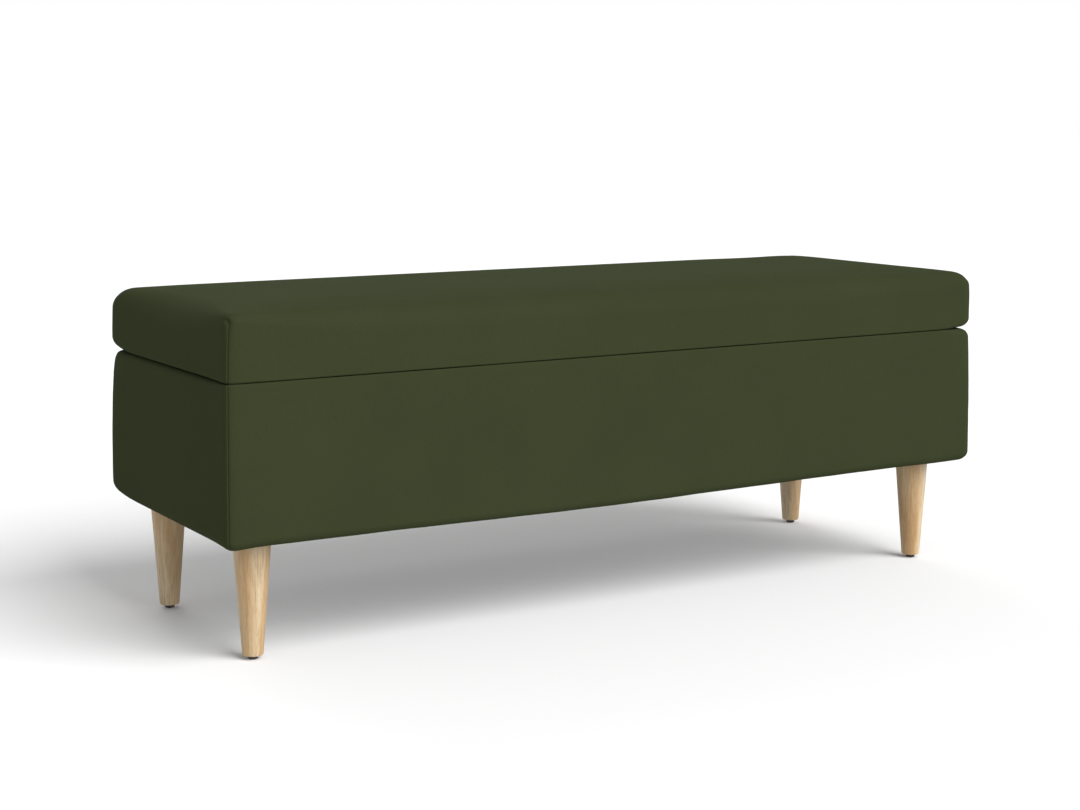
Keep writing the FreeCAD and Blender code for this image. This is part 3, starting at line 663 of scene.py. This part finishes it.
def board_material(name, face, early, late):
    """Plywood or softwood, for the frame inside the padding: grain along X, layers about 1.5 mm thick."""
    n = Nodes(name)
    grain = n.noise(n.stretch(n.places, BOARD_GRAIN), scale=1.0, detail=4.0)
    layers = n.math("SINE", n.math("MULTIPLY", n.split(n.places)[2], PLY_LAYERS))
    plies = n.math("ADD", n.math("MULTIPLY", layers, 0.5), 0.5)
    colour = n.ramp(grain, [(0.3, early), (0.52, face), (0.75, late)])
    colour = n.mix(n.math("MULTIPLY", plies, 0.12), colour, early)
    n.feed(n.shader, Base_Color=colour, Roughness=n.math("ADD", 0.62, n.math("MULTIPLY", grain, 0.2)))
    n.feed(n.shader, Normal=n.bump(grain, distance=0.3 * MM, strength=0.3))
    return n.material


def shades(colour, darker, lighter):
    """A ramp's two stops, from a darker to a lighter shade of one colour."""
    return [(0.3, tuple(c * darker for c in colour)), (0.7, tuple(c * lighter for c in colour))]


def metal_material(name, colour, rough, metallic):
    """Plated or powder-coated steel, a little uneven."""
    n = Nodes(name)
    spots = n.noise(n.places, scale=260.0, detail=4.0)
    worn = n.noise(n.places, scale=40.0)
    tone = n.ramp(spots, shades(colour, 0.82, 1.12))
    n.feed(n.shader, Base_Color=tone, Roughness=n.math("ADD", rough - 0.08, n.math("MULTIPLY", worn, 0.2)))
    n.feed(n.shader, Normal=n.bump(spots, distance=0.06 * MM, strength=0.4))
    n.shader.inputs["Metallic"].default_value = metallic
    return n.material


def moulded_material(name, colour, rough):
    """Moulded plastic or rubber with a fine spark texture."""
    n = Nodes(name)
    grain = n.noise(n.places, scale=2600.0, detail=2.0)
    patches = n.noise(n.places, scale=60.0, detail=2.0)
    tone = n.ramp(patches, shades(colour, 0.8, 1.3))
    n.feed(n.shader, Base_Color=tone, Roughness=n.math("ADD", rough, n.math("MULTIPLY", grain, 0.12)))
    n.feed(n.shader, Normal=n.bump(grain, distance=0.05 * MM, strength=0.5))
    return n.material


def foam_material():
    """Open-cell foam."""
    n = Nodes("foam")
    cells = n.noise(n.places, scale=1500.0, detail=2.0)
    colour = n.ramp(cells, [(0.3, (0.62, 0.56, 0.40)), (0.6, (0.82, 0.78, 0.64))])
    relief = n.bump(cells, distance=0.4 * MM, strength=0.8)
    n.feed(n.shader, Base_Color=colour, Roughness=0.95, Normal=relief)
    return n.material


WELD_GRID, WELD_SIZE = 2200.0, 0.55


def spunbond_material(name, dark, light):
    """Spun-bonded cloth: pressed fibres with a grid of small weld points."""
    n = Nodes(name)
    fibres = n.noise(n.places, scale=700.0, detail=4.0, roughness=0.7)
    place = n.split(n.places)
    waves = [n.math("SINE", n.math("MULTIPLY", axis, WELD_GRID)) for axis in place[:2]]
    dots = n.math("GREATER_THAN", n.math("MULTIPLY", *waves), WELD_SIZE)
    colour = n.mix(n.math("MULTIPLY", dots, 0.35), n.ramp(fibres, [(0.35, dark), (0.65, light)]), dark)
    height = n.math("SUBTRACT", fibres, n.math("MULTIPLY", dots, 0.6))
    relief = n.bump(height, distance=0.3 * MM, strength=0.5)
    n.feed(n.shader, Base_Color=colour, Roughness=0.85, Normal=relief)
    return n.material


OLIVE = {
    "dark": (0.0270, 0.0326, 0.0141),
    "light": (0.0331, 0.0396, 0.0177),
    "thread": 0.9 * MM,
    "sheen": 0.014,
    "tint": (0.70, 1.00, 0.40),
}
LINING = {
    "dark": (0.020, 0.021, 0.022),
    "light": (0.034, 0.035, 0.037),
    "thread": 0.5 * MM,
    "sheen": 0.1,
    "tint": (1, 1, 1),
}
MATERIALS = {
    "olive_fabric": cloth_material("olive_fabric", **OLIVE),
    "lining_fabric": cloth_material("lining_fabric", **LINING),
    "black_nonwoven": spunbond_material("black_nonwoven", (0.012, 0.012, 0.013), (0.026, 0.026, 0.028)),
    "leg_wood": oak_material(),
    "frame_wood": board_material("frame_wood", (0.60, 0.46, 0.29), (0.50, 0.35, 0.19), (0.68, 0.55, 0.37)),
    "plywood": board_material("plywood", (0.62, 0.48, 0.31), (0.52, 0.38, 0.22), (0.70, 0.57, 0.40)),
    "foam": foam_material(),
    "zinc_steel": metal_material("zinc_steel", (0.60, 0.61, 0.62), rough=0.34, metallic=1.0),
    "black_steel": metal_material("black_steel", (0.028, 0.028, 0.030), rough=0.45, metallic=0.0),
    "glide_plastic": moulded_material("glide_plastic", (0.018, 0.018, 0.019), rough=0.45),
    "bumper_rubber": moulded_material("bumper_rubber", (0.022, 0.022, 0.022), rough=0.65),
}


def dress_nodes():
    """Gives every CAD node that stays its slot's material."""
    slots = {part["node"]: part["material_slot"] for part in frame["record"]["subparts"]}
    for name, thing in NODES.items():
        thing.data.materials.clear()
        thing.data.materials.append(MATERIALS[slots[name]])


# ---------------------------------------------------------------- linings and cloths


def grid_sheet(us, vs, place):
    """Points and faces of a sheet over two lists of grid lines, put in place by a function of (u, v)."""
    u, v = np.meshgrid(us, vs, indexing="ij")
    points = place(u.ravel(), v.ravel())
    rows = len(vs)
    faces = []
    for i in range(len(us) - 1):
        for j in range(rows - 1):
            a = i * rows + j
            faces.append([a, a + rows, a + rows + 1, a + 1])
    return points, faces


STAPLE_WIRE, STAPLE_HALF = 0.35 * MM, 5 * MM


def staples(name, centres, along_x, body):
    """Wire staples pressed up into a cloth from below. centres are their middles, and along_x says
    whether each one lies along X or along Y."""
    wire, half = STAPLE_WIRE, STAPLE_HALF
    section = ((-wire, 0.0), (-wire, 1.0), (wire, 1.0), (wire, 0.0))
    points, faces = [], []
    for centre, flat in zip(centres, along_x):
        run = Vector((1, 0, 0)) if flat else Vector((0, 1, 0))
        side = Vector((0, 1, 0)) if flat else Vector((1, 0, 0))
        start = len(points)
        for t in (-half, wire - half, half - wire, half):
            rise = wire if abs(t) < half - wire / 2 else -wire * 0.5
            for s, up in section:
                down = Vector((0, 0, -(rise * up + 0.05 * MM)))
                points.append(Vector(centre) + run * t + side * s + down)
        for ring in range(3):
            for k in range(4):
                p = start + ring * 4 + k
                q = start + ring * 4 + (k + 1) % 4
                faces.append([p, q, q + 4, p + 4])
        faces.append([start, start + 3, start + 2, start + 1])
        faces.append([start + 12, start + 13, start + 14, start + 15])
    thing = mesh_object(name, points, faces)
    thing.data.polygons.foreach_set("use_smooth", [False] * len(thing.data.polygons))
    thing.data.materials.append(MATERIALS["zinc_steel"])
    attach(thing, body)


def hem_ring(half_x, half_y, pitch, inset):
    """Evenly spaced places round a rectangle, inset from its edge, and whether each lies on a long side."""
    half_x, half_y = half_x - inset, half_y - inset
    x_count, y_count = round(2 * half_x / pitch), round(2 * half_y / pitch)
    places, long_side = [], []
    for k in range(x_count):
        x = (k + 0.5) / x_count * 2 * half_x - half_x
        places += [(x, -half_y), (x, half_y)]
        long_side += [True, True]
    for k in range(y_count):
        y = (k + 0.5) / y_count * 2 * half_y - half_y
        places += [(-half_x, y), (half_x, y)]
        long_side += [False, False]
    return places, long_side


HEM, HEM_FOLD = 14 * MM, 1.5 * MM
HEM_STEP, FLAT_SLACK = 0.45, 0.35  # in millimetres
FLAT_PITCH = 9 * MM
STAPLE_PITCH = 58 * MM
HOLE_MARGIN = 25 * MM


def flat_cloth(name, half_x, half_y, z, body, node, holes=(), hole_radius=0.0):
    """A thin black cloth stapled flat on an underside, with a folded hem, and its staples. It lies close
    round each of the holes."""

    def axis_lines(half):
        core = half - HEM - HEM_FOLD
        inner = np.linspace(-core, core, math.ceil(2 * half / FLAT_PITCH))
        edge = np.array([half - HEM, half - HEM / 2, half - 1 * MM, half])
        return np.concatenate([-edge[::-1], inner, edge])

    def place(u, v):
        from_edge = np.minimum(half_x - np.abs(u), half_y - np.abs(v))
        folded = 1 - step(from_edge, HEM, HEM + HEM_FOLD)
        round_off = 1 - step(from_edge, 0, 1 * MM)
        flat_points = np.column_stack([u, v, 0 * u])
        wave = FLAT_SLACK * ripples(flat_points, scale=0.22, seed=5) * (1 - folded)
        level = (HEM_STEP * folded - HEM_STEP * round_off + wave) * MM
        for hole in holes:
            distance = np.hypot(u - hole[0], v - hole[1])
            edge = hole_radius + HOLE_MARGIN
            level = np.where(distance < edge, level * step(distance, hole_radius, edge), level)
        return np.column_stack([u, v, z - level])

    points, faces = grid_sheet(axis_lines(half_x), axis_lines(half_y), place)
    thing = mesh_object(name, points, [face[::-1] for face in faces])
    thing.data.materials.append(MATERIALS["black_nonwoven"])
    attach(thing, body)
    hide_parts(node)
    places, long_side = hem_ring(half_x, half_y, STAPLE_PITCH, HEM / 2)
    centres = [(x, y, z - 0.5 * MM) for x, y in places]
    staples(name + "_staples", centres, long_side, body)


CLOTH_GAP = 0.6 * MM
LEG_CLEARANCE = 26 * MM


def make_flat_cloths():
    """The dust cloth under the base, tight round the legs, and the cloth under the lid's board."""
    legs = [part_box("leg_" + corner) for corner in ("front_left", "front_right", "back_left", "back_right")]
    centres = [((low.x + high.x) / 2, (low.y + high.y) / 2) for low, high in legs]
    z = DUST_LOW.z + CLOTH_GAP
    flat_cloth("dust_cloth", DUST_HIGH.x, DUST_HIGH.y, z, "base", "dust_cover", centres, LEG_CLEARANCE)
    z = UNDER_LOW.z + CLOTH_GAP
    flat_cloth("lid_under_cloth", UNDER_HIGH.x, UNDER_HIGH.y, z, "lid", "lid_undercloth")


LINING_RADIUS = 9 * MM
LINING_PITCH = 12 * MM
LINING_WELD = 1.5 * MM
LINING_HEM_START, LINING_HEM_END, LINING_HEM_DEPTH = 12 * MM, 14 * MM, 0.6 * MM
LINING_SLACK, LINING_SLACK_END = 0.5 * MM, 40 * MM
# The lining's top edge, tucked under the cover's turned-in edge: (how far past the wall, how far above it).
LINING_LIP = ((0.8 * MM, 0.5 * MM), (2.2 * MM, 0.7 * MM), (4.5 * MM, 0.7 * MM))


def make_lining():
    """The lining: a floor and four walls in dark cloth, a little slack, hemmed at the top, with its edge
    tucked under the cover."""
    half_x, half_y = LINING_HIGH.x - 1 * MM, LINING_HIGH.y - 1 * MM
    low, high = LINING_LOW.z + 1 * MM, LINING_HIGH.z
    radius = LINING_RADIUS
    core_x, core_y = half_x - radius, half_y - radius
    arc = np.linspace(0, math.pi / 2, 6)

    # Rings of points, each (how far in from the wall, height): the rounded foot, the wall and the lip.
    hem_levels = [high - 12.5 * MM, high - 6 * MM, high - 1 * MM, high]
    wall = np.concatenate([np.linspace(low + radius, high - LINING_HEM_END, 14)[1:], hem_levels])
    levels = [(radius * (1 - math.sin(t)), low + radius * (1 - math.cos(t))) for t in arc]
    levels += [(0.0, z) for z in wall]
    levels += [(-past, high + above) for past, above in LINING_LIP]

    # The way round a ring: each point's middle of curvature in X and Y, and its outward direction.
    def spread(core):
        return np.linspace(-core, core, math.ceil(2 * core / LINING_PITCH) + 1)

    xs, ys = spread(core_x), spread(core_y)
    path = []
    for line, out_x, out_y in ((xs, 0, -1), (ys, 1, 0), (xs[::-1], 0, 1), (ys[::-1], -1, 0)):
        for place in line:
            x, y = (out_x * core_x, place) if out_x else (place, out_y * core_y)
            path.append((x, y, out_x, out_y))
        for t in arc[1:-1]:
            cos, sin = math.cos(t), math.sin(t)
            path.append((x, y, out_x * cos - out_y * sin, out_y * cos + out_x * sin))
    middles, outward = np.split(np.array(path, float), 2, axis=1)

    points, faces = [], []
    for inset, z in levels:
        ring = np.column_stack([middles + outward * (radius - inset), np.full(len(path), z)])
        below_top = np.array(high - z)
        wave = 1 + ripples(ring, scale=0.12, seed=11)
        slack = LINING_SLACK * wave * float(step(below_top, LINING_HEM_START, LINING_SLACK_END))
        hem = LINING_HEM_DEPTH * float(1 - step(below_top, LINING_HEM_START, LINING_HEM_END))
        ring[:, :2] -= outward * (slack + hem)[:, None]
        points.extend(ring)
    count = len(path)
    for level in range(len(levels) - 1):
        for k in range(count):
            a, b = level * count + k, level * count + (k + 1) % count
            faces.append([b, a, a + count, b + count])

    def on_floor(u, v):
        wave = ripples(np.column_stack([u, v, 0 * u]), scale=0.15, seed=4)
        return np.column_stack([u, v, low + 0.3 * MM * (1 + wave)])

    floor_points, floor_faces = grid_sheet(xs, ys, on_floor)
    start = len(points)
    points.extend(floor_points)
    faces.extend([[start + k for k in face] for face in floor_faces])
    thing = mesh_object("storage_lining_cloth", points, faces)
    weld = thing.modifiers.new("Weld", "WELD")
    weld.merge_threshold = LINING_WELD
    with bpy.context.temp_override(object=thing, active_object=thing):
        bpy.ops.object.modifier_apply(modifier="Weld")
    thing.data.materials.append(MATERIALS["lining_fabric"])
    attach(thing, "base")
    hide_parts("storage_lining")


# ---------------------------------------------------------------- stage, light and camera


FLOOR_HALF = 30.0
FLOOR_TONE = 0.73


def make_stage():
    """A plain pale floor."""
    lines = np.linspace(-FLOOR_HALF, FLOOR_HALF, 3)
    points, faces = grid_sheet(lines, lines, lambda u, v: np.column_stack([u, v, 0 * u]))
    floor = mesh_object("studio_floor", points, faces)
    paint = bpy.data.materials.new("studio_floor")
    paint.use_nodes = True
    shader = paint.node_tree.nodes["Principled BSDF"]
    shader.inputs["Base Color"].default_value = (FLOOR_TONE, FLOOR_TONE, FLOOR_TONE, 1)
    shader.inputs["Roughness"].default_value = 0.9
    floor.data.materials.append(paint)


def soft_sun(name, azimuth, elevation, strength, width):
    """A wide, distant lamp. azimuth is degrees right of straight in front, width its spread in degrees."""
    turn, rise = math.radians(azimuth), math.radians(elevation)
    towards = Vector((math.sin(turn) * math.cos(rise), -math.cos(turn) * math.cos(rise), math.sin(rise)))
    light = bpy.data.lights.new(name, "SUN")
    light.energy = strength
    light.angle = math.radians(width)
    thing = bpy.data.objects.new(name, light)
    thing.rotation_euler = (-towards).to_track_quat("-Z", "Y").to_euler()
    bpy.context.scene.collection.objects.link(thing)


DOME_HORIZON, DOME_ZENITH = 1.0, 0.35


def make_light():
    """A soft dome, white at the horizon and dimmer overhead, a wide lamp from the front and a weak one
    from behind."""
    world = bpy.data.worlds.new("studio")
    world.use_nodes = True
    tree = world.node_tree
    split = tree.nodes.new("ShaderNodeSeparateXYZ")
    ramp = tree.nodes.new("ShaderNodeValToRGB")
    tree.links.new(tree.nodes.new("ShaderNodeTexCoord").outputs["Generated"], split.inputs[0])
    tree.links.new(split.outputs["Z"], ramp.inputs[0])
    tree.links.new(ramp.outputs[0], tree.nodes["Background"].inputs["Color"])
    horizon, zenith = ramp.color_ramp.elements
    horizon.position, horizon.color = 0.05, (DOME_HORIZON, DOME_HORIZON, DOME_HORIZON, 1)
    zenith.position, zenith.color = 1.0, (DOME_ZENITH, DOME_ZENITH, DOME_ZENITH, 1)
    bpy.context.scene.world = world
    soft_sun("key", azimuth=22, elevation=38, strength=4.4, width=50)
    soft_sun("back", azimuth=175, elevation=30, strength=0.55, width=40)


CAMERA_PLACE = (-1.4660, -2.3798, 0.6818)
CAMERA_TURN, CAMERA_DIP = 31.041, 3.881  # degrees right of straight back, and down from level
CAMERA_LENS, CAMERA_SHIFT = 64.91, -0.15


def make_camera():
    """A little above the lid, from the front left, turned about 31 degrees off square."""
    data = bpy.data.cameras.new("camera")
    data.lens = CAMERA_LENS
    data.sensor_width = 36.0
    data.shift_y = CAMERA_SHIFT
    data.clip_end = 120.0
    camera = bpy.data.objects.new("camera", data)
    camera.location = CAMERA_PLACE
    camera.rotation_euler = (math.radians(90 - CAMERA_DIP), 0, math.radians(-CAMERA_TURN))
    bpy.context.scene.collection.objects.link(camera)
    bpy.context.scene.camera = camera


make_camera()
make_light()
make_stage()
dress_nodes()
make_lid_cover()
make_base_cover()
make_flat_cloths()
make_lining()

bpy.context.scene.view_settings.view_transform = "Standard"
